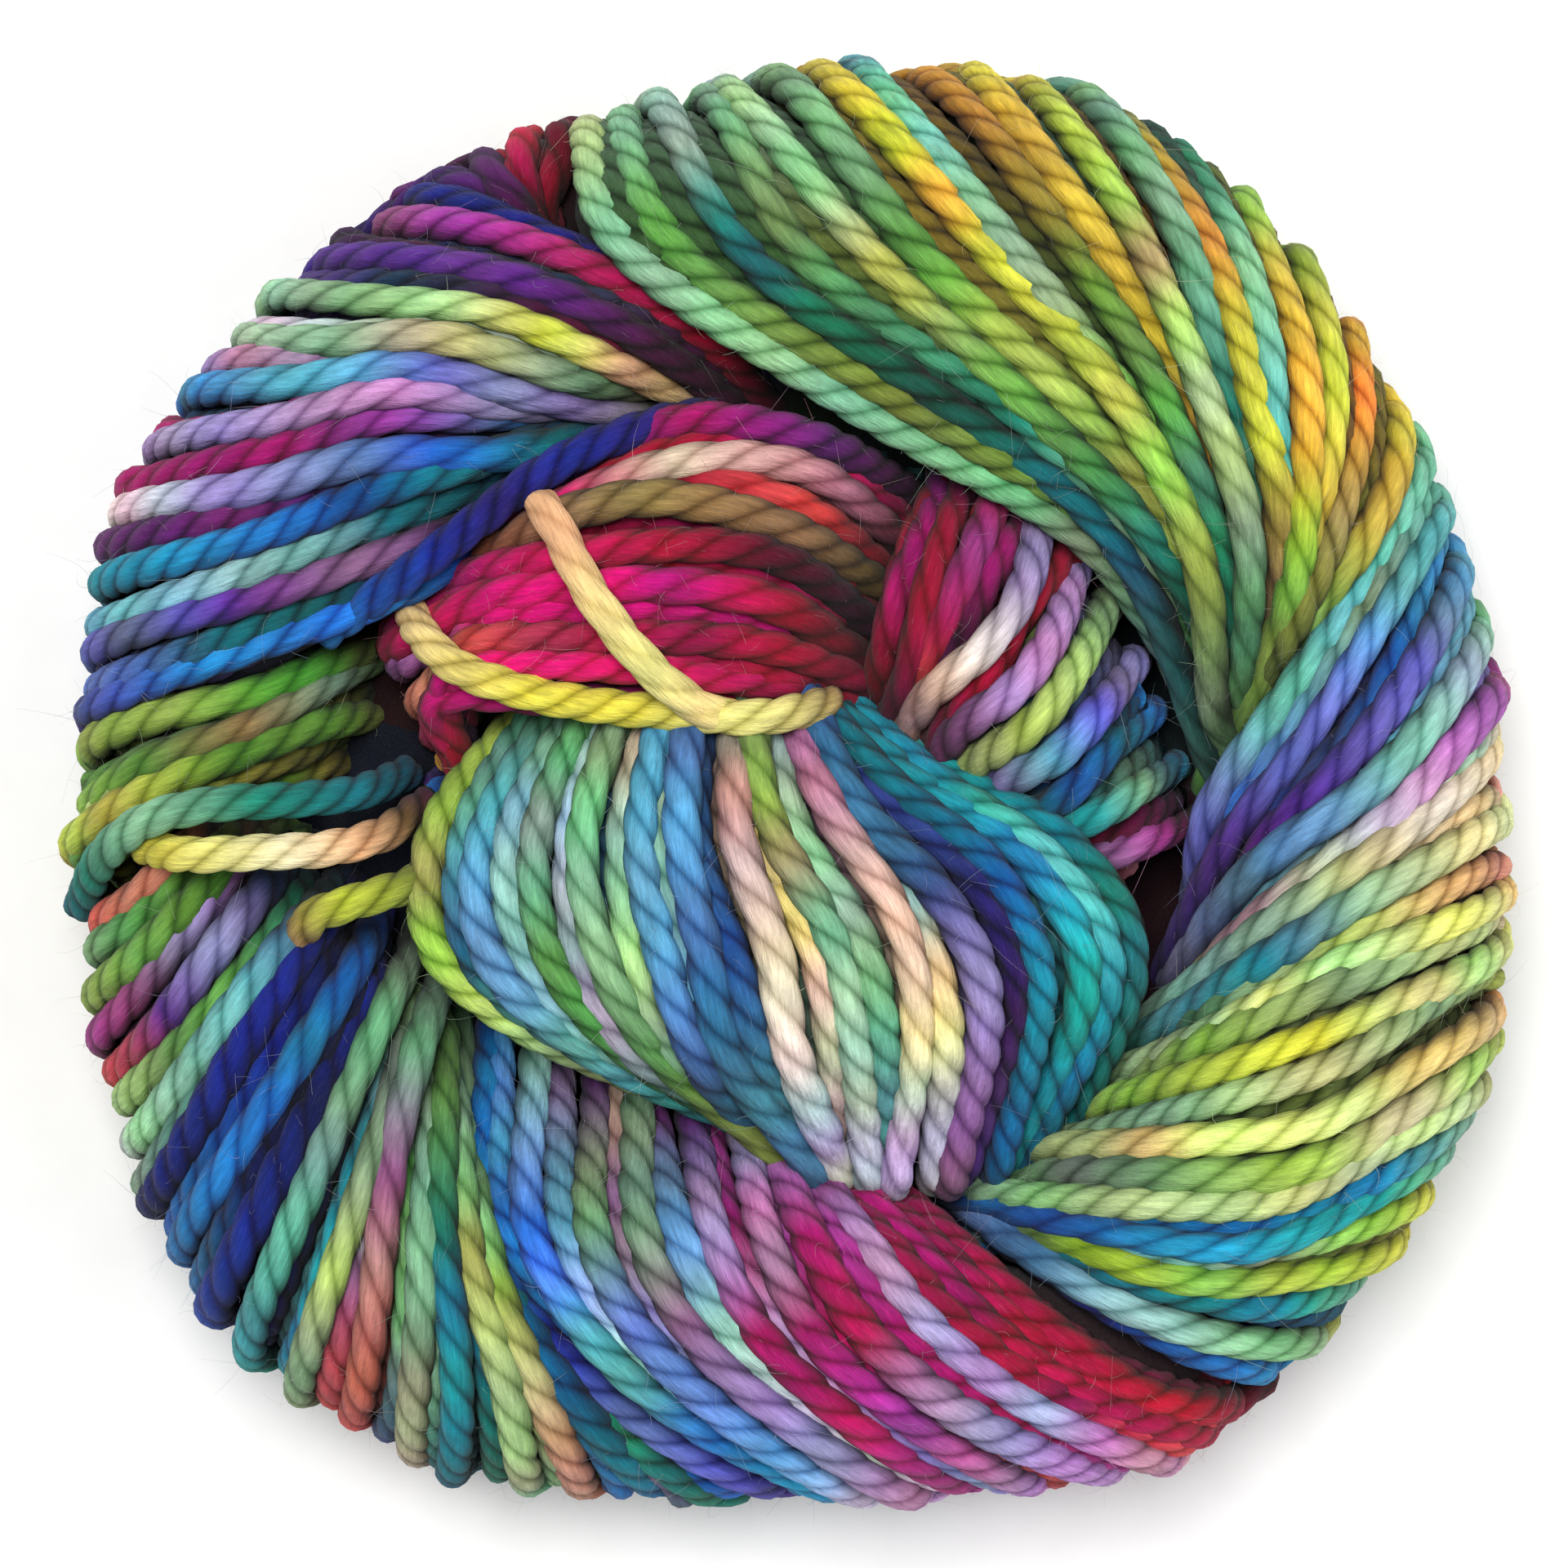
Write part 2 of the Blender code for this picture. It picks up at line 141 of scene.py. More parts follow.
# Dyes as seen on the dry wool: name, red, green, blue
DYES = {
    "white": (0.93, 0.94, 0.95),
    "white_cyan": (0.78, 0.91, 0.95),
    "cream": (0.95, 0.91, 0.76),
    "gold_cream": (0.93, 0.85, 0.60),
    "yellow_cream": (0.92, 0.90, 0.60),
    "lime_cream": (0.82, 0.88, 0.62),
    "yellow": (0.88, 0.84, 0.36),
    "gold": (0.86, 0.75, 0.32),
    "golden": (0.88, 0.68, 0.30),
    "chartreuse": (0.74, 0.78, 0.30),
    "lime": (0.70, 0.79, 0.40),
    "olive": (0.52, 0.56, 0.26),
    "dark_olive": (0.20, 0.28, 0.12),
    "brown_olive": (0.45, 0.36, 0.22),
    "olive_cream": (0.66, 0.55, 0.38),
    "leaf": (0.44, 0.62, 0.28),
    "green": (0.45, 0.66, 0.38),
    "deep_green": (0.10, 0.35, 0.26),
    "teal_green": (0.16, 0.56, 0.48),
    "sage": (0.55, 0.68, 0.55),
    "grey_mint": (0.66, 0.76, 0.70),
    "grey_teal": (0.36, 0.52, 0.50),
    "mint": (0.60, 0.78, 0.64),
    "pale_mint": (0.75, 0.88, 0.80),
    "pale_aqua": (0.68, 0.85, 0.86),
    "aqua": (0.48, 0.76, 0.76),
    "turquoise": (0.14, 0.66, 0.70),
    "cyan": (0.20, 0.70, 0.80),
    "teal": (0.08, 0.50, 0.55),
    "teal_blue": (0.05, 0.45, 0.62),
    "deep_teal": (0.03, 0.28, 0.38),
    "sky": (0.45, 0.72, 0.86),
    "azure": (0.18, 0.55, 0.80),
    "cerulean": (0.08, 0.48, 0.70),
    "blue": (0.14, 0.36, 0.66),
    "denim": (0.30, 0.53, 0.68),
    "slate": (0.27, 0.38, 0.58),
    "royal": (0.12, 0.20, 0.58),
    "navy": (0.05, 0.11, 0.34),
    "midnight": (0.03, 0.06, 0.18),
    "indigo": (0.20, 0.15, 0.48),
    "violet": (0.42, 0.26, 0.62),
    "purple": (0.46, 0.18, 0.50),
    "deep_purple": (0.26, 0.10, 0.36),
    "plum": (0.34, 0.09, 0.28),
    "periwinkle": (0.48, 0.54, 0.80),
    "lavender": (0.70, 0.66, 0.85),
    "lilac": (0.80, 0.62, 0.80),
    "mauve": (0.62, 0.44, 0.62),
    "orchid": (0.72, 0.30, 0.64),
    "magenta": (0.70, 0.08, 0.50),
    "hot_magenta": (0.88, 0.02, 0.55),
    "hot_pink": (0.88, 0.10, 0.50),
    "raspberry": (0.70, 0.08, 0.40),
    "crimson": (0.72, 0.07, 0.28),
    "burgundy": (0.38, 0.04, 0.20),
    "coral": (0.86, 0.36, 0.36),
    "salmon": (0.86, 0.58, 0.50),
    "peach": (0.92, 0.74, 0.58),
    "pink": (0.88, 0.62, 0.70),
    "cream_pink": (0.90, 0.78, 0.72),
    "pink_beige": (0.84, 0.72, 0.66),
}


def dye_strength(name):
    """Light that a dye gives back, from its colour as seen."""
    seen = np.array(DYES[name])
    light = np.where(seen <= 0.04045, seen / 12.92, ((seen + 0.055) / 1.055) ** 2.4)
    return light ** DYE_DEPTH


def smooth_curve(values, places):
    """Rows at places from 0 to 1 on the smooth curve through evenly spaced rows."""
    values = np.asarray(values, float)
    last = len(values) - 1
    steps = np.clip(np.asarray(places, float), 0.0, 1.0) * last
    span = np.minimum(steps.astype(int), last - 1)
    s = (steps - span)[:, None]
    slopes = np.gradient(values, axis=0)
    return ((2 * s ** 3 - 3 * s ** 2 + 1) * values[span]
            + (s ** 3 - 2 * s ** 2 + s) * slopes[span]
            + (-2 * s ** 3 + 3 * s ** 2) * values[span + 1]
            + (s ** 3 - s ** 2) * slopes[span + 1])


def unit_rows(rows):
    return rows / np.maximum(np.linalg.norm(rows, axis=1), 1e-9)[:, None]


def arc_lengths(route):
    return np.concatenate(((0.0,), np.cumsum(np.linalg.norm(np.diff(route, axis=0), axis=1))))


def dye_bands(names, places, stations=None):
    """Dye at each place, running softly from one named dye to the next."""
    strengths = np.array([dye_strength(name) for name in names.split()])
    if stations is None:
        stations = np.linspace(0.0, 1.0, len(strengths))
    return np.stack([np.interp(places, stations, strengths[:, band]) for band in range(3)], axis=1)


class Wool:
    """Spun strands gathered for one piece: points, faces and the dye, with painted shade, on each
    point.
    """

    def __init__(self):
        self.points = []
        self.faces = []
        self.dyes = []
        self.lines = []
        self.grooves = []
        self.count = 0

    def add(self, points, faces, dyes, lines, grooves):
        self.points.append(points)
        self.faces.extend([[corner + self.count for corner in face] for face in faces])
        self.dyes.append(dyes)
        self.lines.append(lines)
        self.grooves.append(grooves)
        self.count += len(points)

    def make(self, name, material):
        """Mesh object with the dye and painted shade, fibre line and groove depth kept on its points.
        """
        mesh = bpy.data.meshes.new(name)
        mesh.from_pydata(np.concatenate(self.points) * MM, [], self.faces)
        dye = mesh.attributes.new("Dye_And_Shade", "FLOAT_COLOR", "POINT")
        colours = np.concatenate(self.dyes)
        colours = np.concatenate((colours, np.ones((len(colours), 1))), axis=1)
        dye.data.foreach_set("color", colours.astype(np.float32).ravel())
        line = mesh.attributes.new("Line", "FLOAT_VECTOR", "POINT")
        line.data.foreach_set("vector", np.concatenate(self.lines).astype(np.float32).ravel())
        groove = mesh.attributes.new("Groove", "FLOAT", "POINT")
        groove.data.foreach_set("value", np.concatenate(self.grooves).astype(np.float32))
        mesh.shade_smooth()
        mesh.materials.append(material)
        piece = bpy.data.objects.new(name, mesh)
        bpy.context.scene.collection.objects.link(piece)
        return piece


def ring_faces(rings, sides):
    """Faces of a closed tube of rings, with a flat face at each end."""
    faces = []
    for ring in range(rings - 1):
        start = ring * sides
        for side in range(sides):
            beside = (side + 1) % sides
            faces.append([start + side, start + beside, start + sides + beside,
                          start + sides + side])
    faces.append(list(range(sides - 1, -1, -1)))
    faces.append(list(range((rings - 1) * sides, rings * sides)))
    return faces


def spin_strand(wool, route, dyes, thickness, turn, ply_steps=5, relief=1.0, stretch=1.0,
                outward=None):
    """One three-ply strand along the rows of a route in millimetres, dyed row by row.

    Where the strand is pulled tight its relief is below 1 and its stretch above 1. Its flanks,
    which face away from outward and into the hank, are painted darker and deeper in colour as
    painted shade between the strands.
    """
    lengths = arc_lengths(route)
    rings = len(route)
    forward = unit_rows(np.gradient(route, axis=0))
    side = np.cross(forward[0], (0.31, 0.12, 0.94))
    across = np.empty_like(route)
    for row in range(rings):
        side = side - np.dot(side, forward[row]) * forward[row]
        side = side / np.linalg.norm(side)
        across[row] = side
    upward = np.cross(forward, across)
    sides = PLY_COUNT * ply_steps
    corners = np.arange(sides)
    lean = (corners % ply_steps) / ply_steps * math.tau / PLY_COUNT - math.pi / PLY_COUNT
    reach = PLY_OFFSET * np.cos(lean) + np.sqrt(PLY_SIZE ** 2 - (PLY_OFFSET * np.sin(lean)) ** 2)
    pitch = PLY_PITCH * stretch * np.ones(rings)
    twist = np.concatenate(((0.0,), np.cumsum(np.diff(lengths) / pitch[1:])))
    angles = corners / sides * math.tau + turn - math.tau * twist[:, None]
    out = np.asarray(thickness) * np.ones(rings)
    relief = (relief * np.ones(rings))[:, None]
    spread = out[:, None] * (reach.mean() + relief * (reach - reach.mean()))
    points = (route[:, None, :]
              + (spread * np.cos(angles))[:, :, None] * across[:, None, :]
              + (spread * np.sin(angles))[:, :, None] * upward[:, None, :])
    points[:, :, 2] = np.maximum(points[:, :, 2], 0.0)
    plies = corners // ply_steps
    tone = 1.0 + 0.07 * np.sin(turn * 5.0 + plies * 2.1)[None, :] * np.ones((rings, 1))
    colours = dyes[:, None, :] * tone[:, :, None]
    # Painted shade: points on the flanks, facing into the hank, get a darker, deeper colour.
    if outward is not None:
        facing = (np.cos(angles) * np.sum(across * outward, axis=1)[:, None]
                  + np.sin(angles) * np.sum(upward * outward, axis=1)[:, None])
        painted_flank = np.clip((FLANK_START - facing) / (FLANK_START - FLANK_END), 0.0, 1.0)[:, :, None]
        colours = colours ** (1.0 + FLANK_SHADE_DEPTH * painted_flank) * (1.0 - FLANK_SHADE * painted_flank)
    lines = np.stack((out[:, None] * np.cos(angles) + 40.0 * math.sin(turn * 9.0),
                      out[:, None] * np.sin(angles) + 40.0 * math.cos(turn * 7.0),
                      lengths[:, None] * np.ones((1, sides))), axis=2)
    groove = 1.0 - (reach - reach.min()) / (reach.max() - reach.min())
    wool.add(points.reshape(-1, 3), ring_faces(rings, sides), colours.reshape(-1, 3),
             lines.reshape(-1, 3), (groove * relief).ravel())
    return forward


def even_route(route, gaps):
    """Route with its rows set as far apart as the gaps say, and each row's place on the old one."""
    lengths = arc_lengths(route)
    wanted = np.interp(lengths, lengths, gaps if np.ndim(gaps) else gaps * np.ones(len(lengths)))
    steps = np.concatenate(((0.0,), np.cumsum(np.diff(lengths) / ((wanted[1:] + wanted[:-1]) / 2))))
    rings = max(int(steps[-1]), 4)
    places = np.interp(np.linspace(0.0, steps[-1], rings), steps, lengths)
    return np.stack([np.interp(places, lengths, route[:, axis]) for axis in range(3)], axis=1), places


def add_fibre_group():
    """Node group: how light plays on fibres that run along the strand, and painted shade in the ply
    grooves.
    """
    group = bpy.data.node_groups.new("wool_fibres", "ShaderNodeTree")
    face = group.interface
    face.new_socket("Dye_And_Shade", in_out="INPUT", socket_type="NodeSocketColor")
    face.new_socket("Line", in_out="INPUT", socket_type="NodeSocketVector")
    face.new_socket("Groove", in_out="INPUT", socket_type="NodeSocketFloat")
    for name, value in (("Streaks", 0.3), ("Groove Shade", 0.5), ("Pale Fibres", 0.15)):
        socket = face.new_socket(name, in_out="INPUT", socket_type="NodeSocketFloat")
        socket.default_value = value
    face.new_socket("Color", in_out="OUTPUT", socket_type="NodeSocketColor")
    face.new_socket("Roughness", in_out="OUTPUT", socket_type="NodeSocketFloat")
    face.new_socket("Height", in_out="OUTPUT", socket_type="NodeSocketFloat")
    nodes = group.nodes
    links = group.links
    given = nodes.new("NodeGroupInput")
    result = nodes.new("NodeGroupOutput")

    def stretched_noise(scale, detail, roughness):
        stretch = nodes.new("ShaderNodeVectorMath")
        stretch.operation = "MULTIPLY"
        stretch.inputs[1].default_value = scale
        links.new(given.outputs["Line"], stretch.inputs[0])
        noise = nodes.new("ShaderNodeTexNoise")
        noise.inputs["Scale"].default_value = 1.0
        noise.inputs["Detail"].default_value = detail
        noise.inputs["Roughness"].default_value = roughness
        links.new(stretch.outputs["Vector"], noise.inputs["Vector"])
        return noise.outputs["Fac"]

    def ranged(value, low, high, to_low, to_high):
        spread = nodes.new("ShaderNodeMapRange")
        spread.inputs["From Min"].default_value = low
        spread.inputs["From Max"].default_value = high
        spread.inputs["To Min"].default_value = to_low
        spread.inputs["To Max"].default_value = to_high
        links.new(value, spread.inputs["Value"])
        return spread.outputs["Result"]

    def calculate(operation, first, second):
        sum_node = nodes.new("ShaderNodeMath")
        sum_node.operation = operation
        for socket, value in zip(sum_node.inputs, (first, second)):
            if isinstance(value, (int, float)):
                socket.default_value = value
            else:
                links.new(value, socket)
        return sum_node.outputs["Value"]

    fibres = stretched_noise((1.9, 1.9, 0.30), 4.0, 0.62)
    fine = stretched_noise((7.0, 7.0, 0.9), 3.0, 0.6)
    patches = stretched_noise((0.35, 0.35, 0.28), 2.0, 0.5)
    streak = ranged(fibres, 0.3, 0.7, -1.0, 1.0)
    streak = calculate("MULTIPLY", streak, given.outputs["Streaks"])
    tone = calculate("ADD", streak, 1.0)
    tone = calculate("MULTIPLY", tone, ranged(patches, 0.3, 0.7, 0.86, 1.14))
    # Painted shade: the ply seams are darkened and deepened in colour.
    seam = calculate("POWER", given.outputs["Groove"], 1.8)
    shade = calculate("MULTIPLY", seam, given.outputs["Groove Shade"])
    tone = calculate("MULTIPLY", tone, calculate("SUBTRACT", 1.0, shade))
    seam_shade_deepening = nodes.new("ShaderNodeGamma")
    links.new(given.outputs["Dye_And_Shade"], seam_shade_deepening.inputs["Color"])
    links.new(calculate("ADD", 1.0, calculate("MULTIPLY", shade, 0.8)), seam_shade_deepening.inputs["Gamma"])
    scaled = nodes.new("ShaderNodeVectorMath")
    scaled.operation = "SCALE"
    links.new(seam_shade_deepening.outputs["Color"], scaled.inputs[0])
    links.new(tone, scaled.inputs["Scale"])
    pale = nodes.new("ShaderNodeMix")
    pale.data_type = "RGBA"
    pale_mask = calculate("MULTIPLY", ranged(fine, 0.52, 0.75, 0.0, 1.0),
                          given.outputs["Pale Fibres"])
    links.new(pale_mask, pale.inputs["Factor"])
    links.new(scaled.outputs["Vector"], pale.inputs[6])
    lighter = nodes.new("ShaderNodeVectorMath")
    lighter.operation = "MULTIPLY_ADD"
    lighter.inputs[1].default_value = (1.5, 1.5, 1.5)
    lighter.inputs[2].default_value = (0.05, 0.05, 0.05)
    links.new(scaled.outputs["Vector"], lighter.inputs[0])
    links.new(lighter.outputs["Vector"], pale.inputs[7])
    links.new(pale.outputs[2], result.inputs["Color"])
    links.new(ranged(fine, 0.3, 0.7, 0.78, 0.98), result.inputs["Roughness"])
    height = calculate("ADD", calculate("MULTIPLY", fibres, 0.65), calculate("MULTIPLY", fine, 0.35))
    links.new(height, result.inputs["Height"])
    return group


wool_fibres = add_fibre_group()


def make_wool_material(name, streaks, groove_shade, pale_fibres, sheen, bump):
    """Matt plied wool that takes its dye, with painted shade, from the points of the strand."""
    material = bpy.data.materials.new(name)
    material.use_nodes = True
    nodes = material.node_tree.nodes
    links = material.node_tree.links
    shader = nodes["Principled BSDF"]
    shader.inputs["Metallic"].default_value = 0.0
    shader.inputs["Specular IOR Level"].default_value = 0.2
    shader.inputs["Sheen Weight"].default_value = sheen
    shader.inputs["Sheen Roughness"].default_value = 0.55
    fibres = nodes.new("ShaderNodeGroup")
    fibres.node_tree = wool_fibres
    for attribute, output in (("Dye_And_Shade", "Color"), ("Line", "Vector"), ("Groove", "Fac")):
        reader = nodes.new("ShaderNodeAttribute")
        reader.attribute_name = attribute
        links.new(reader.outputs[output], fibres.inputs[attribute])
    fibres.inputs["Streaks"].default_value = streaks
    fibres.inputs["Groove Shade"].default_value = groove_shade
    fibres.inputs["Pale Fibres"].default_value = pale_fibres
    relief = nodes.new("ShaderNodeBump")
    relief.inputs["Strength"].default_value = bump
    relief.inputs["Distance"].default_value = 0.0008
    links.new(fibres.outputs["Color"], shader.inputs["Base Color"])
    links.new(fibres.outputs["Roughness"], shader.inputs["Roughness"])
    links.new(fibres.outputs["Height"], relief.inputs["Height"])
    links.new(relief.outputs["Normal"], shader.inputs["Normal"])
    return material


pale_wool = make_wool_material("pale_dyed_wool", 0.20, 0.30, 0.35, 0.06, 0.7)

end_line = smooth_curve(LOOSE_END_ROUTE, np.linspace(0.0, 1.0, 60))
end_route, end_places = even_route(end_line, 0.7)
end_span = end_places / end_places[-1]
end_dyes = dye_bands("yellow_cream gold_cream yellow_cream gold_cream peach peach", end_span)
tip_round = np.sqrt(1.0 - np.clip((end_span - 0.975) / 0.03, 0.0, 0.85) ** 2)
loose_wool = Wool()
spin_strand(loose_wool, end_route, end_dyes, STRAND_RADIUS * tip_round, 0.4, ply_steps=6,
            relief=0.8, stretch=1.35)
loose_end = loose_wool.make("loose_end_yarn", pale_wool)
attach(loose_end, "root")
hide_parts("loose_end")


# Upper right bundle. Eighteen turns of yarn come round the outside and are pulled
# tight over the top, green and lime with a few golden turns. The twist of the hank holds them.
WAIST_HEIGHT = 21.0
ROPE_RADIUS = 17.0
FLOOR_DIP = 0.9
UNDER_INNER_RADIUS = 27.0
UNDER_TWIST_DEGREES = 52.0
UNDER_DIVE_START = 0.55
UNDER_DIVE_HEIGHT = 13.0
SIDE_SINK_SHARE = 0.22
UNDER_SINK_SHARE = 0.7
UNDER_SINK_LENGTH = 0.25
CORE_RING_RADIUS = 52.0
CORE_MIDDLE_BOTTOM = 10.0
CORE_MIDDLE_TOP = 34.0
CENTRE_ANCHOR_SHARE = 0.85
OUTLINE_STEP = 20
OUTLINE_RADII = (74.3, 75.5, 77.2, 79.4, 76.1, 73.8, 74.4, 75.0, 76.0,
                 74.7, 77.4, 81.4, 80.9, 75.7, 75.1, 80.5, 80.1, 77.8)
LINE_STEPS = 110
FINE_GAP = 1.15
COARSE_GAP = 2.1
UNDER_LAYER_GAP = 2.2
UNDER_LAYER_DEPTH = 2.7
UNDER_LAYER_SHADE = 0.26
LAYER_SHARE = 0.62
LAYER_LIMIT = 7.0
LAYER_LEVELS = 5
LAYER_SHADE = 0.6
END_DIVE = ((1.8, 1.0), (3.4, 2.8), (4.4, 5.4), (4.9, 8.4))


def outline_radius(angles):
    """Radius of the outermost strand centres at angles in radians."""
    ring = np.array(OUTLINE_RADII[-2:] + OUTLINE_RADII + OUTLINE_RADII[:3])
    steps = np.degrees(angles) % 360.0 / OUTLINE_STEP + 2.0
    return smooth_curve(ring[:, None], steps / (len(ring) - 1))[:, 0] - STRAND_RADIUS


def round_shoulder(depth):
    inward = 1.0 - np.clip(depth / ROPE_RADIUS, 0.0, 1.0)
    return np.sqrt(1.0 - inward ** 2)


class Bundle:
    """Strands that lie side by side: rails seen from above, heights and how the edges sink."""

    def __init__(self, kind, heights, sinks, rails):
        self.kind = kind
        self.heights = np.array(heights, float)
        self.sinks = sinks
        self.rails = np.array(rails, float)

    def sink(self, across):
        start_share = max(1.0 - 2.0 * across, 0.0) ** 3
        end_share = max(2.0 * across - 1.0, 0.0) ** 3
        return self.sinks[0] * start_share + self.sinks[1] * end_share

    def plan(self, across, places):
        """Strand seen from above at places from 0 to 1."""
        lines = np.array([smooth_curve(rail, places) for rail in self.rails])
        flat = lines.reshape(len(lines), -1)
        return smooth_curve(flat, np.array([across])).reshape(-1, 2)

    def top(self, across, places):
        seen = self.plan(across, places)
        height = smooth_curve(self.heights[:, None], places)[:, 0]
        if self.kind == "under":
            return np.column_stack((seen, height + self.sink(across)))
        height = height - self.sink(across)
        if self.kind == "ring":
            angles = np.arctan2(seen[:, 1], seen[:, 0])
            radius = outline_radius(angles) - SIDE_SINK_SHARE * self.sink(across)
            place = np.minimum(np.hypot(seen[:, 0], seen[:, 1]), radius)
            height = WAIST_HEIGHT + (height - WAIST_HEIGHT) * round_shoulder(radius - place)
            seen = np.column_stack((place * np.cos(angles), place * np.sin(angles)))
        return np.column_stack((seen, height))

    def under(self, across, backs):
        """Strand on the underside of the ring, back from the outline."""
        start = self.plan(across, np.zeros(1))[0]
        angles = math.atan2(start[1], start[0]) + math.radians(UNDER_TWIST_DEGREES) * backs
        sink = self.sink(across)
        reach = outline_radius(angles) - SIDE_SINK_SHARE * sink
        place = reach - (reach - UNDER_INNER_RADIUS) * backs
        dive = np.maximum(backs - UNDER_DIVE_START, 0.0) / (1.0 - UNDER_DIVE_START)
        rest = STRAND_RADIUS - FLOOR_DIP + UNDER_DIVE_HEIGHT * dive ** 2
        rest = rest + UNDER_SINK_SHARE * sink * np.minimum(backs / UNDER_SINK_LENGTH, 1.0)
        height = WAIST_HEIGHT - (WAIST_HEIGHT - rest) * round_shoulder(reach - place)
        return np.column_stack((place * np.cos(angles), place * np.sin(angles), height))

    def places(self, steps):
        if self.kind != "ring":
            return np.linspace(0.0, 1.0, steps)
        spread = np.linspace(-1.0, 1.0, steps)
        return spread * np.abs(spread) ** 0.6

    def line(self, across, places):
        before = places < 0.0
        return np.concatenate((self.under(across, -places[before]),
                               self.top(across, places[~before])))

    def anchors(self, centres):
        """Points inside the nest that the strands face away from."""
        if self.kind == "ring":
            angles = np.arctan2(centres[:, 1], centres[:, 0])
            return np.column_stack((CORE_RING_RADIUS * np.cos(angles),
                                    CORE_RING_RADIUS * np.sin(angles),
                                    np.full(len(centres), WAIST_HEIGHT)))
        depth = CORE_MIDDLE_TOP if self.kind == "under" else CORE_MIDDLE_BOTTOM
        return np.column_stack((CENTRE_ANCHOR_SHARE * centres[:, :2],
                                np.full(len(centres), depth)))


def drift(random, lengths, wave, amount):
    """Slow wander along a strand, in millimetres."""
    knots = random.normal(0.0, amount, max(int(lengths[-1] / wave), 2) + 2)
    return smooth_curve(knots[:, None], lengths / lengths[-1])[:, 0]


def with_dives(kind, route, extra):
    """Route carried on down out of sight where it passes under its neighbours."""
    down = 1.0 if kind == "under" else -1.0
    forward = unit_rows(route[-1:] - route[-4:-3])[0]
    ahead = [route[-1] + forward * far * (1, 1, 0) + np.array((0, 0, down * deep))
             for far, deep in END_DIVE]
    behind = []
    if kind != "ring":
        backward = unit_rows(route[:1] - route[3:4])[0]
        behind = [route[0] + backward * far * (1, 1, 0) + np.array((0, 0, down * deep))
                  for far, deep in reversed(END_DIVE)]
    whole = np.array(behind + list(route) + ahead)
    along = np.concatenate((np.full(len(behind), extra[0]), extra, np.full(len(ahead), extra[-1])))
    return whole, along


def layer_depth(level, spacing):
    """How far a strand sinks where its bundle is too narrow for all strands side by side."""
    depth = np.zeros(len(spacing))
    for step in range(level, LAYER_LEVELS):
        beside = spacing * 2 ** step
        depth += np.sqrt(np.maximum((2 * STRAND_RADIUS) ** 2 - beside ** 2, 0.0))
    return np.minimum(LAYER_SHARE * depth, LAYER_LIMIT)


fuzz_roots = []


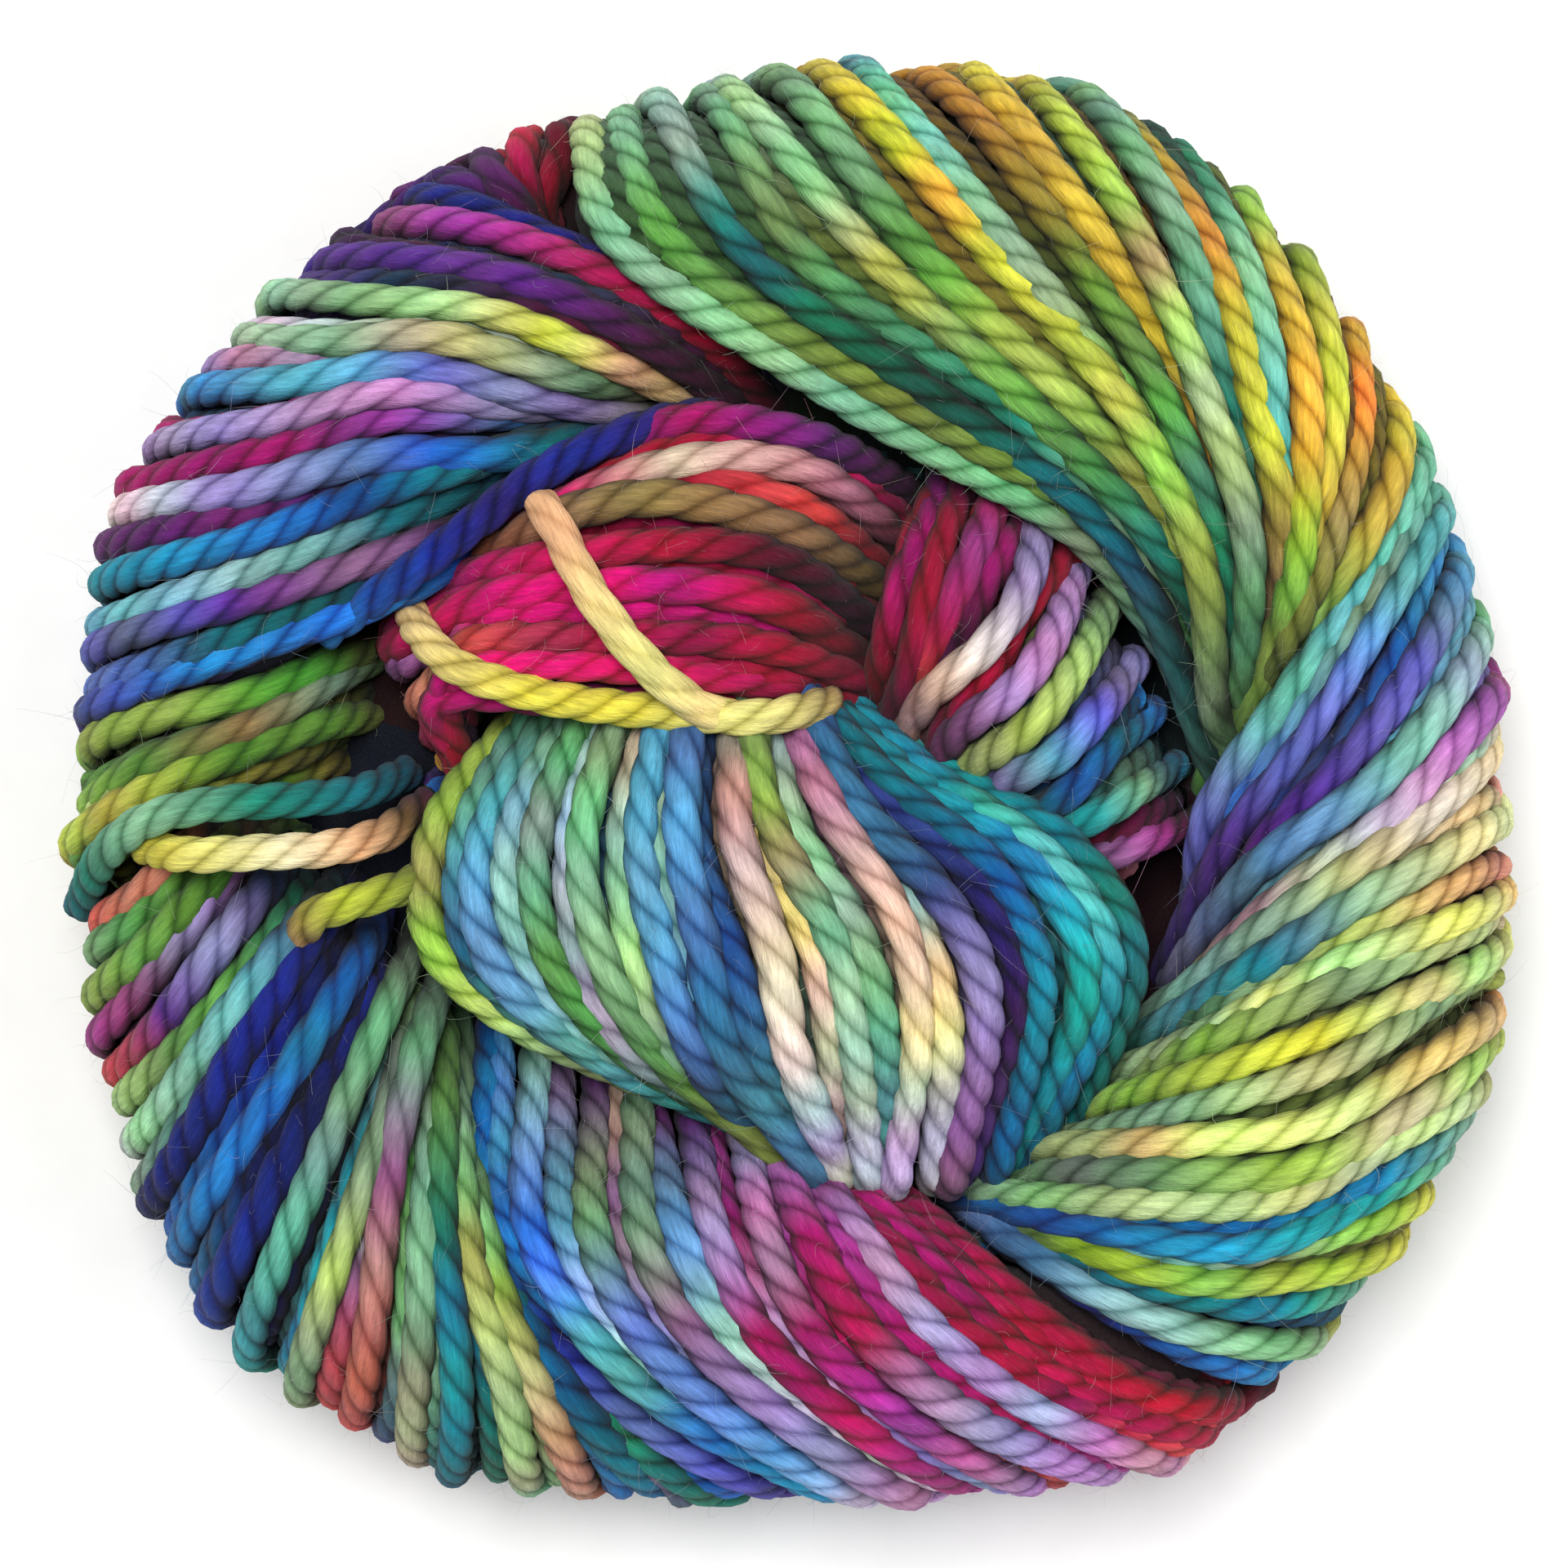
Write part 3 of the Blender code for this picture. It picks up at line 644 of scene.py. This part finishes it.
def wind_bundle(name, bundle, dyes, seed, material):
    """All strands of a bundle as one piece: the turns that show and the layer below them."""
    random = np.random.default_rng(seed)
    wool = Wool()
    count = len(dyes)
    places = bundle.places(LINE_STEPS)
    borders = [bundle.line(index / count, places) for index in range(count + 1)]
    for index in range(count):
        middle = bundle.line((index + 0.5) / count, places)
        between = borders[index + 1] - borders[index]
        spacing = np.linalg.norm(between, axis=1)
        sideways = unit_rows(between)
        outward = unit_rows(middle - bundle.anchors(middle))
        crowd = np.clip(2 * STRAND_RADIUS / np.maximum(spacing, 0.6) - 1.1, 0.0, 2.4)
        lengths = arc_lengths(middle)
        # Odd strands sink first, then every second one of those that are left
        level = ((index + 2) & -(index + 2)).bit_length() - 1
        sunk = layer_depth(level, spacing)
        rise = drift(random, lengths, 20.0, 0.55) - sunk
        aside = drift(random, lengths, 26.0, 0.75)
        laid = middle + rise[:, None] * outward + aside[:, None] * sideways
        laid, laid_places = with_dives(bundle.kind, laid, places)
        gaps = np.where(laid_places < -0.12, COARSE_GAP, FINE_GAP)
        route, rows = even_route(laid, gaps)
        along = np.interp(rows, arc_lengths(laid), laid_places)
        tight = np.interp(along, places, np.clip(crowd / 2.0, 0.0, 1.0))
        names = dyes[index].split()
        stations = np.linspace(0.0, 1.0, len(names)) + random.normal(0.0, 0.02, len(names))
        if bundle.kind == "ring":
            beneath = dyes[(index * 5 + 3) % count].split()[1:]
            names = beneath + names
            stations = np.concatenate((np.linspace(-1.0, -0.22, len(beneath)), stations))
        colours = dye_bands(" ".join(names), along, np.sort(stations))
        blotches = np.column_stack([drift(random, arc_lengths(route), 7.0, 0.13)
                                    for channel in range(3)])
        colours = colours * np.clip(1.0 + blotches, 0.6, 1.4)
        # Painted shade: strands sunk under their neighbours and strands crowded into the pinches are
        # darkened.
        low = np.interp(along, places, sunk) / LAYER_LIMIT
        colours = colours * (1.0 - LAYER_SHADE * np.maximum(low, 0.6 * tight))[:, None]
        thickness = STRAND_RADIUS * random.normal(1.0, 0.05) * (
            1.0 + drift(random, arc_lengths(route), 9.0, 0.03))
        faced = unit_rows(route - bundle.anchors(route))
        loose_twist = random.uniform(1.0, 1.35)
        forward = spin_strand(wool, route, colours, thickness, random.uniform(0.0, math.tau),
                              relief=1.0 - 0.25 * tight, stretch=loose_twist + 0.6 * tight,
                              outward=faced)
        if bundle.kind != "under":
            seen = np.flatnonzero((along > -0.05) & (along < 0.99))
            fuzz_roots.append((route[seen], faced[seen], forward[seen], colours[seen],
                               thickness[seen]))
    for index in range(1, count):
        line = borders[index]
        outward = unit_rows(line - bundle.anchors(line))
        lengths = arc_lengths(line)
        spacing = np.linalg.norm(line - borders[index - 1], axis=1)
        depth = np.clip(UNDER_LAYER_DEPTH - (spacing - 2 * STRAND_RADIUS), 0.9, UNDER_LAYER_DEPTH)
        depth = depth + layer_depth(0, spacing) + drift(random, lengths, 20.0, 0.4)
        route = line - depth[:, None] * outward
        route, rows = even_route(route, UNDER_LAYER_GAP)
        along = np.interp(rows, arc_lengths(line - depth[:, None] * outward), places)
        row = dyes[(index + random.integers(0, 2)) % count]
        # The layer below is painted at about a quarter of its dye: painted shade in the gaps between
        # the strands above.
        colours = UNDER_LAYER_SHADE * dye_bands(row, along)
        spin_strand(wool, route, colours, STRAND_RADIUS, random.uniform(0.0, math.tau),
                    ply_steps=3)
    return wool.make(name, material)


dyed_wool = make_wool_material("dyed_wool", 0.27, 0.46, 0.35, 0.06, 0.7)

upper_right_form = Bundle("ring", (43, 43, 43, 40, 24), (5, 7), (
    ((-23, 69), (-20, 54), (3, 39), (29, 25), (43, 3)),
    ((-1, 74), (15, 54), (30, 38), (40, 22), (44, 3)),
    ((31, 72), (40, 54), (45, 38), (48, 22), (45, 3)),
    ((66, 37), (63, 30), (58, 23), (51, 14), (45, 3)),
))
upper_right = wind_bundle("upper_right_bundle", upper_right_form, (
    "lime_cream mint mint sage grey_teal",
    "mint green olive green grey_teal",
    "pale_mint teal_green deep_green teal grey_teal",
    "mint green teal_green mint grey_teal",
    "pale_mint lime green teal_green deep_green",
    "mint green lime olive green",
    "yellow gold lime lime mint",
    "aqua mint lime lime green",
    "golden olive green teal_green deep_green",
    "yellow gold golden yellow_cream lime",
    "yellow lime lime_cream mint green",
    "mint mint teal_green mint green",
    "olive golden yellow olive_cream grey_teal",
    "teal_green mint aqua green deep_green",
    "lime gold gold lime green",
    "lime yellow yellow lime lime",
    "golden golden olive_cream olive green",
    "yellow gold lime green deep_green",
), 11, dyed_wool)
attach(upper_right, "root")
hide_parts("hank")


# Right bundle. The next turns of the same yarn, round the right side and down to the
# lower crossing: aqua and violet above, cream and lime in the middle, blue below.
right_form = Bundle("ring", (42, 42, 42, 39, 24), (7, 7), (
    ((67, 38), (58, 23), (49, 9), (41, -4), (39, -19)),
    ((73, 17), (65, 7), (57, -2), (48, -9), (40, -19)),
    ((75, -8), (64, -12), (54, -16), (44, -22), (35, -28)),
    ((70, -31), (60, -36), (48, -42), (33, -42), (19, -42)),
    ((54, -63), (44, -61), (33, -55), (25, -49), (17, -43)),
))
right_bundle = wind_bundle("right_bundle", right_form, (
    "mint aqua aqua periwinkle indigo",
    "aqua sage sky azure navy",
    "aqua sky periwinkle violet violet",
    "sky azure slate indigo navy",
    "sky periwinkle violet purple indigo",
    "aqua aqua sky periwinkle violet",
    "mint pale_aqua aqua sky lavender",
    "violet lavender aqua aqua teal",
    "orchid lilac white cream_pink cream",
    "cream pale_mint grey_mint sage aqua",
    "cream cream lime_cream grey_mint pale_mint",
    "peach cream lime_cream turquoise teal",
    "cream lime_cream mint turquoise aqua",
    "salmon gold_cream lime sage teal",
    "yellow_cream yellow_cream lime_cream lime_cream mint",
    "cream lime_cream sage lime sage",
    "yellow_cream lime_cream yellow lime lime",
    "lime sage lime_cream mint sage",
    "peach gold_cream yellow_cream yellow_cream sage",
    "lime lime_cream lime sage sage",
    "lime_cream lime_cream lime_cream lime_cream mint",
    "mint turquoise cerulean teal_blue deep_teal",
    "mint turquoise cyan azure azure",
    "yellow lime mint azure royal",
    "yellow lime lime chartreuse teal",
    "mint turquoise teal turquoise azure",
    "lime mint pale_aqua sky periwinkle",
    "turquoise azure royal indigo violet",
), 12, dyed_wool)
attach(right_bundle, "root")
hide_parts("hank")


# Lower right bundle. Turns that come up over the lower edge towards the centre:
# crimson and magenta, then lilac and white, then sky and royal blue.
lower_right_form = Bundle("ring", (43, 43, 43, 40, 28), (7, 8), (
    ((53, -64), (39, -61), (28, -54), (20, -48), (10, -41)),
    ((24, -73), (9, -63), (-1, -54), (-6, -44), (-8, -35)),
    ((-1, -73), (-14, -65), (-26, -54), (-33, -43), (-34, -27)),
))
lower_right = wind_bundle("lower_right_bundle", lower_right_form, (
    "burgundy crimson crimson raspberry raspberry",
    "coral crimson crimson magenta raspberry",
    "crimson raspberry crimson magenta magenta",
    "coral raspberry crimson raspberry magenta",
    "pink lavender lavender lilac magenta",
    "orchid raspberry magenta orchid lilac",
    "lilac lavender raspberry magenta lilac",
    "coral magenta raspberry orchid lilac",
    "lilac orchid magenta lilac lavender",
    "lavender lavender lilac magenta orchid",
    "orchid magenta raspberry lavender purple",
    "white white pale_aqua sky purple",
    "lilac lavender mauve sage sage",
    "pale_aqua white lavender mauve pink_beige",
    "white sky periwinkle sage purple",
    "sky sky white_cyan sky mauve",
    "cyan azure sky azure pale_aqua",
    "azure cerulean cerulean azure sky",
    "violet periwinkle royal azure cerulean",
), 13, dyed_wool)
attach(lower_right, "root")
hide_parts("hank")


# Lower left bundle. Turns that rise over the lower left side and run up under the
# centre: teal and sage, navy and cerulean, then lavender, coral and green.
lower_left_form = Bundle("ring", (41, 41, 40, 35, 20), (8, 7), (
    ((3, -74), (-10, -69), (-22, -59), (-30, -49), (-36, -24)),
    ((-35, -71), (-34, -56), (-35, -43), (-35, -31), (-36, -20)),
    ((-62, -51), (-55, -39), (-49, -28), (-44, -19), (-41, -13)),
    ((-74, -13), (-68, -10), (-64, -7), (-61, -4), (-59, -2)),
))
lower_left = wind_bundle("lower_left_bundle", lower_left_form, (
    "azure cerulean blue azure cerulean",
    "azure teal_blue teal blue navy",
    "teal_green teal_green teal deep_teal deep_teal",
    "teal mauve deep_teal teal deep_teal",
    "cerulean teal teal_blue deep_teal deep_green",
    "azure teal turquoise sage deep_green",
    "salmon pink_beige lime mint green",
    "mint lime mint green deep_green",
    "mint lime_cream lime mint sage",
    "teal_green teal teal green deep_green",
    "teal turquoise teal_green green green",
    "teal mint sage mint green",
    "pink_beige sage mint sage grey_teal",
    "slate mint green sage grey_teal",
    "coral salmon mauve mint sage",
    "coral mauve sage green deep_green",
    "sage lime_cream sage sage green",
    "turquoise cyan turquoise mint deep_green",
    "turquoise aqua sage mint sage",
    "indigo navy navy navy midnight",
    "blue royal navy royal navy",
    "azure navy midnight navy midnight",
    "azure azure azure cerulean royal",
    "azure blue royal navy navy",
    "navy royal royal royal navy",
    "mint grey_teal grey_teal deep_teal navy",
    "pale_mint mint aqua grey_teal deep_teal",
    "lime_cream green green teal_green deep_teal",
    "coral violet lavender slate grey_teal",
    "orchid mauve lavender mauve indigo",
    "lime green leaf leaf sage",
    "mint green leaf olive green",
    "coral salmon salmon brown_olive leaf",
), 14, dyed_wool)
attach(lower_left, "root")
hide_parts("hank")


# Left bundle. A low group of green turns that slips into the hollow beside the centre.
left_form = Bundle("ring", (37, 37, 35, 29, 16), (6, 5), (
    ((-74, -12), (-69, -7), (-61, -2), (-51, 0), (-44, 3)),
    ((-74, -3), (-64, 2), (-55, 5), (-47, 9), (-42, 12)),
    ((-74, 7), (-64, 9), (-54, 11), (-47, 14), (-42, 18)),
))
left_bundle = wind_bundle("left_bundle", left_form, (
    "lime lime leaf olive dark_olive",
    "leaf green lime olive dark_olive",
    "yellow lime leaf leaf olive",
    "lime_cream leaf teal_green olive dark_olive",
    "lime leaf olive_cream sage olive",
    "leaf green leaf olive dark_olive",
    "lime lime leaf leaf olive",
    "leaf leaf olive leaf dark_olive",
), 15, dyed_wool)
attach(left_bundle, "root")
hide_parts("hank")


# Upper left bundle. Turns that cross from the left side to the top of the centre:
# royal blue and turquoise below, lavender and sky in the middle, mint, then burgundy.
upper_left_form = Bundle("ring", (42, 42, 42, 38, 22), (6, 7), (
    ((-74, 5), (-58, 11), (-42, 17), (-28, 25), (-12, 38)),
    ((-64, 39), (-50, 39), (-38, 41), (-26, 39), (-12, 38)),
    ((-42, 62), (-30, 59), (-17, 53), (-7, 47), (1, 39)),
))
upper_left = wind_bundle("upper_left_bundle", upper_left_form, (
    "violet azure azure royal indigo",
    "periwinkle teal deep_teal deep_teal navy",
    "periwinkle violet mauve indigo navy",
    "aqua pale_aqua teal deep_teal teal_blue",
    "turquoise azure teal_blue teal cerulean",
    "purple purple navy teal deep_teal",
    "white lavender periwinkle azure turquoise cerulean",
    "magenta magenta orchid azure teal",
    "lavender lavender lilac lavender lavender",
    "magenta magenta orchid lavender periwinkle",
    "azure sky sky periwinkle lavender white",
    "lavender lilac lavender lavender lavender",
    "pale_mint mint lime_cream sage olive_cream",
    "white white grey_mint sage sage",
    "pale_mint mint lime_cream yellow gold_cream peach",
    "violet deep_teal plum burgundy burgundy",
    "violet violet purple plum plum",
    "deep_purple plum deep_teal plum burgundy",
    "mauve orchid raspberry crimson burgundy",
    "indigo royal indigo navy midnight",
), 16, dyed_wool)
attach(upper_left, "root")
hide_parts("hank")


# Tail bundle. A few burgundy and purple turns that show between the two upper bundles,
# where the end of the twisted hank is tucked in.
tail_form = Bundle("ring", (35, 35, 35, 33, 28), (3, 3), (
    ((-46, 59), (-38, 62), (-33, 61), (-31, 58), (-27, 55)),
    ((-35, 66), (-32, 66), (-30, 62), (-28, 59), (-26, 55)),
    ((-20, 70), (-23, 66), (-25, 63), (-26, 60), (-24, 56)),
))
tail_bundle = wind_bundle("tail_bundle", tail_form, (
    "indigo purple burgundy",
    "purple violet burgundy",
    "plum purple burgundy",
    "burgundy crimson burgundy",
    "crimson raspberry burgundy",
    "burgundy crimson burgundy",
), 17, dyed_wool)
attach(tail_bundle, "root")
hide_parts("hank")


# Centre right bundle. The inner end of the coil, bent over and tucked down: crimson and
# coral, then lilac, with sage and turquoise at its lower end.
centre_right_form = Bundle("inner", (30, 39, 42, 38, 26), (4, 10), (
    ((14, 33), (12, 26), (10, 20), (9, 13), (8, 7)),
    ((26, 26), (23, 20), (19, 13), (15, 8), (11, 2)),
    ((42, -6), (38, -7), (34, -8), (30, -8), (26, -8)),
))
centre_right = wind_bundle("centre_right_bundle", centre_right_form, (
    "purple magenta raspberry crimson burgundy",
    "burgundy crimson raspberry coral crimson",
    "purple crimson crimson raspberry burgundy",
    "crimson coral hot_pink coral coral",
    "magenta orchid raspberry coral coral",
    "purple magenta plum purple indigo",
    "lilac lilac white cream peach",
    "crimson crimson crimson raspberry crimson",
    "lavender lilac lavender mauve raspberry",
    "sage lime_cream lime lime_cream sage",
    "lavender periwinkle sky lavender azure",
    "azure teal blue teal teal",
    "turquoise mint turquoise teal_green teal",
    "plum orchid mauve plum purple",
), 18, dyed_wool)
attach(centre_right, "root")
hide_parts("hank")


# Centre upper bundle. Turns that cross the middle from left to right: crimson, hot pink
# and magenta, with one olive turn and one yellow turn along the lower edge.
centre_upper_form = Bundle("inner", (33, 42, 45, 43, 30), (6, 6), (
    ((-26, 25), (-18, 33), (-9, 37), (3, 36), (13, 31)),
    ((-37, 19), (-26, 22), (-13, 23), (-1, 21), (9, 15)),
    ((-33, 0), (-36, 8), (-22, 8), (-5, 7), (8, 7)),
))
centre_upper = wind_bundle("centre_upper_bundle", centre_upper_form, (
    "plum purple magenta purple plum",
    "burgundy crimson crimson hot_pink raspberry",
    "crimson hot_pink cream_pink pink burgundy",
    "burgundy crimson crimson coral crimson",
    "crimson olive_cream olive_cream olive_cream brown_olive",
    "raspberry crimson raspberry crimson burgundy",
    "magenta hot_pink crimson burgundy plum",
    "hot_pink magenta crimson raspberry crimson",
    "hot_pink hot_magenta hot_magenta crimson burgundy",
    "lilac hot_magenta hot_magenta magenta crimson",
    "peach coral raspberry crimson raspberry",
    "hot_pink coral magenta crimson raspberry",
    "crimson hot_magenta hot_pink raspberry crimson",
    "crimson hot_pink magenta crimson plum",
), 19, dyed_wool)
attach(centre_upper, "root")
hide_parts("hank")


# Centre front bundle. The fat loop on top of the nest, which closes the twist: lime and
# aqua at the left, blue, cream and white in the middle, turquoise at the right.
centre_front_form = Bundle("inner", (36, 46, 48.5, 46, 34), (12, 12), (
    ((-27, 9), (-36, -4), (-36, -16), (-25, -25), (-7, -33)),
    ((-7, 12), (-7, -4), (-3, -16), (-1, -26), (3, -37)),
    ((5, 10), (17, 2), (30, -5), (37, -17), (30, -36)),
))
centre_front = wind_bundle("centre_front_bundle", centre_front_form, (
    "lime lime lime lime_cream green",
    "mint aqua teal aqua aqua",
    "green aqua sky aqua turquoise",
    "mint pale_aqua pale_aqua pale_aqua aqua",
    "green mint green green teal_green",
    "pale_mint white_cyan lavender pale_aqua green",
    "sage mint mint green lime",
    "cream pale_mint lime_cream mint lime",
    "sky sky sky denim denim",
    "lime_cream mint sky sky denim",
    "denim sky denim denim sky",
    "denim denim blue denim sky",
    "pink_beige pink_beige cream white white",
    "yellow yellow cream cream white",
    "sage lime mint pale_mint white",
    "grey_mint pale_mint mint aqua aqua",
    "pink lilac cream_pink cream white",
    "denim blue grey_mint cream white",
    "denim denim slate lavender mauve",
    "denim slate indigo deep_purple violet",
    "cerulean teal teal_blue turquoise cerulean",
    "turquoise turquoise cyan turquoise turquoise",
    "cyan turquoise aqua turquoise teal_blue",
    "mint turquoise teal teal_green teal",
), 20, dyed_wool)
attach(centre_front, "root")
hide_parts("hank")


# Underside bundles. Two groups of turns that cross under the middle of the nest and
# keep its centre from falling through.
under_one_form = Bundle("under", (17, 9, 7, 9, 17), (7, 2), (
    ((-30, 13), (-17, 22), (0, 26), (17, 23), (31, 13)),
    ((-33, -3), (-17, 1), (0, 3), (17, 2), (32, -2)),
))
under_one = wind_bundle("first_underside_bundle", under_one_form, (
    "lime mint aqua sky azure",
    "mint aqua teal azure blue",
    "sage lime_cream mint sage teal",
    "gold lime_cream yellow lime green",
    "violet lavender sky aqua mint",
    "azure royal indigo violet orchid",
    "green lime gold lime green",
), 21, dyed_wool)
under_two_form = Bundle("under", (17, 9, 7, 9, 17), (2, 7), (
    ((32, -1), (17, -1), (0, -1), (-17, -3), (-32, -6)),
    ((28, -17), (15, -24), (0, -27), (-15, -25), (-29, -17)),
))
under_two = wind_bundle("second_underside_bundle", under_two_form, (
    "crimson magenta orchid lilac lavender",
    "raspberry crimson coral pink cream",
    "purple violet indigo royal azure",
    "pink lavender periwinkle sky aqua",
    "cream lime_cream mint aqua teal",
    "turquoise teal deep_teal teal green",
    "magenta raspberry burgundy plum purple",
), 22, dyed_wool)
for crossing in (under_one, under_two):
    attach(crossing, "root")
    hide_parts("hank")


# Stray turns. Five single strands that slipped out of their bundle: three lie over the
# green turns at the left side, a yellow one and an indigo one along the crimson turns.
STRAY_TURNS = (
    ("teal teal_green mint teal_green teal deep_teal",
     ((-73.3, -12.2, 22.0), (-69.5, -7.0, 33.0), (-64.3, -3.3, 39.0), (-57.4, -1.6, 41.0),
      (-50.3, -1.2, 39.5), (-43.5, -0.4, 34.0), (-39.1, 1.7, 26.0))),
    ("yellow yellow yellow_cream cream peach brown_olive plum",
     ((-65.1, -5.9, 33.5), (-59.9, -6.6, 40.5), (-51.7, -6.3, 41.5), (-46.1, -6.0, 40.5),
      (-40.7, -4.5, 37.0), (-37.0, -1.5, 30.0))),
    ("brown_olive olive_cream chartreuse olive yellow_cream",
     ((-51.2, -18.0, 32.0), (-48.0, -13.2, 38.0), (-43.7, -11.4, 40.0), (-38.6, -9.8, 38.0),
      (-35.4, -8.0, 32.0))),
    ("peach gold_cream yellow yellow yellow_cream olive_cream",
     ((-38.6, 19.0, 31.0), (-37.0, 15.6, 38.4), (-33.4, 12.2, 42.4), (-28.5, 10.2, 43.2),
      (-23.0, 8.8, 42.6), (-16.5, 7.9, 41.8), (-10.0, 7.4, 41.4), (-4.0, 7.0, 42.4),
      (0.5, 7.6, 40.5), (4.0, 8.6, 36.0))),
    ("azure blue royal indigo royal indigo navy",
     ((-47.0, 15.6, 34.0), (-41.5, 19.0, 38.6), (-36.0, 22.8, 40.4), (-31.0, 26.6, 41.0),
      (-26.6, 30.0, 41.2), (-22.0, 32.8, 41.0), (-17.5, 34.8, 40.4), (-12.5, 36.6, 38.5),
      (-8.0, 37.6, 35.0))),
)
stray_wool = Wool()
for number, (stray_dyes, stray_route) in enumerate(STRAY_TURNS):
    stray_line = smooth_curve(stray_route, np.linspace(0.0, 1.0, 80))
    stray_line, stray_places = even_route(stray_line, 0.8)
    stray_colours = dye_bands(stray_dyes, stray_places / stray_places[-1])
    spin_strand(stray_wool, stray_line, stray_colours, STRAND_RADIUS, 1.3 * number, ply_steps=6)
stray_turns = stray_wool.make("stray_turns", dyed_wool)
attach(stray_turns, "root")
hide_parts("hank")


# Inner turns. The rest of the hank, packed inside the bundles and hardly seen. It is one
# dark body under each bundle, a little way below the strands, painted near black as painted shade.
INNER_DEPTH = 3.4
INNER_SHARE = 0.3
INNER_SHADE = 0.03
INNER_STEPS = 27
INNER_SPAN = 11

inner_wool = Wool()
inner_forms = (
    (upper_right_form, "green"), (right_form, "teal"), (lower_right_form, "raspberry"),
    (lower_left_form, "teal"), (left_form, "olive"), (upper_left_form, "blue"),
    (tail_form, "crimson"), (centre_right_form, "crimson"), (centre_upper_form, "crimson"),
    (centre_front_form, "teal"), (under_one_form, "teal"), (under_two_form, "plum"),
)
for inner_form, inner_dye in inner_forms:
    inner_places = inner_form.places(INNER_STEPS)
    nets = []
    for inner_across in np.linspace(0.0, 1.0, INNER_SPAN):
        inner_line = inner_form.line(inner_across, inner_places)
        inner_anchors = inner_form.anchors(inner_line)
        outside = inner_line - INNER_DEPTH * unit_rows(inner_line - inner_anchors)
        nets.append((outside, inner_anchors + INNER_SHARE * (outside - inner_anchors)))
    loop = np.array([net[0] for net in nets] + [net[1] for net in reversed(nets)])
    points = loop.transpose(1, 0, 2).reshape(-1, 3)
    points[:, 2] = np.maximum(points[:, 2], 1.0)
    sides = 2 * INNER_SPAN
    # Painted shade: the body keeps only a small share of its bundle's dye, near black.
    shades = np.tile(INNER_SHADE * dye_strength(inner_dye), (len(points), 1))
    inner_wool.add(points, ring_faces(INNER_STEPS, sides), shades, points, np.zeros(len(points)))
shaded_inner_turns = inner_wool.make("shaded_inner_turns", dyed_wool)
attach(shaded_inner_turns, "root")
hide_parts("hank")


# Loose fibres. Short ends of wool that stand out of every strand as a soft fuzz. They
# are the same dyed wool, spun in at one end only.
FIBRE_COUNT = 6000
FIBRE_RADIUS = 0.018
FIBRE_STEPS = 5

fibre_random = np.random.default_rng(31)
fibre_wool = Wool()
root_counts = np.array([len(roots[0]) for roots in fuzz_roots])
chosen = fibre_random.choice(len(fuzz_roots), FIBRE_COUNT, p=root_counts / root_counts.sum())
for strand in chosen:
    centres, faced, forwards, colours, thicknesses = fuzz_roots[strand]
    row = fibre_random.integers(0, len(centres))
    around = fibre_random.normal(0.0, 0.8)
    sideways = np.cross(forwards[row], faced[row])
    outward = math.cos(around) * faced[row] + math.sin(around) * sideways
    root = centres[row] + 0.9 * thicknesses[row] * outward
    heading = (fibre_random.normal(0.0, 0.9) * forwards[row] + 0.35 * outward
               + fibre_random.normal(0.0, 0.6) * np.cross(forwards[row], outward))
    heading = heading / np.linalg.norm(heading)
    bend = fibre_random.normal(0.0, 0.5, 3) - 0.35 * outward
    length = min(fibre_random.gamma(2.5, 0.8), 5.0)
    spans = np.linspace(0.0, 1.0, FIBRE_STEPS)[:, None]
    route = root + length * (spans * heading + spans ** 2 * bend)
    route[:, 2] = np.maximum(route[:, 2], 0.1)
    forward = unit_rows(np.gradient(route, axis=0))
    across = unit_rows(np.cross(forward, outward + 0.01))
    upward = np.cross(forward, across)
    taper = FIBRE_RADIUS * (1.0 - 0.6 * spans)
    ring = [route + taper * (math.cos(turn) * across + math.sin(turn) * upward)
            for turn in (0.0, math.tau / 3.0, 2.0 * math.tau / 3.0)]
    points = np.stack(ring, axis=1).reshape(-1, 3)
    dye = np.tile(0.6 * colours[row] + 0.25, (len(points), 1))
    fibre_wool.add(points, ring_faces(FIBRE_STEPS, 3), dye, points, np.zeros(len(points)))
fibre_material = make_wool_material("loose_wool_fibres", 0.1, 0.0, 0.2, 0.2, 0.1)
loose_fibres = fibre_wool.make("loose_fibres", fibre_material)
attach(loose_fibres, "root")
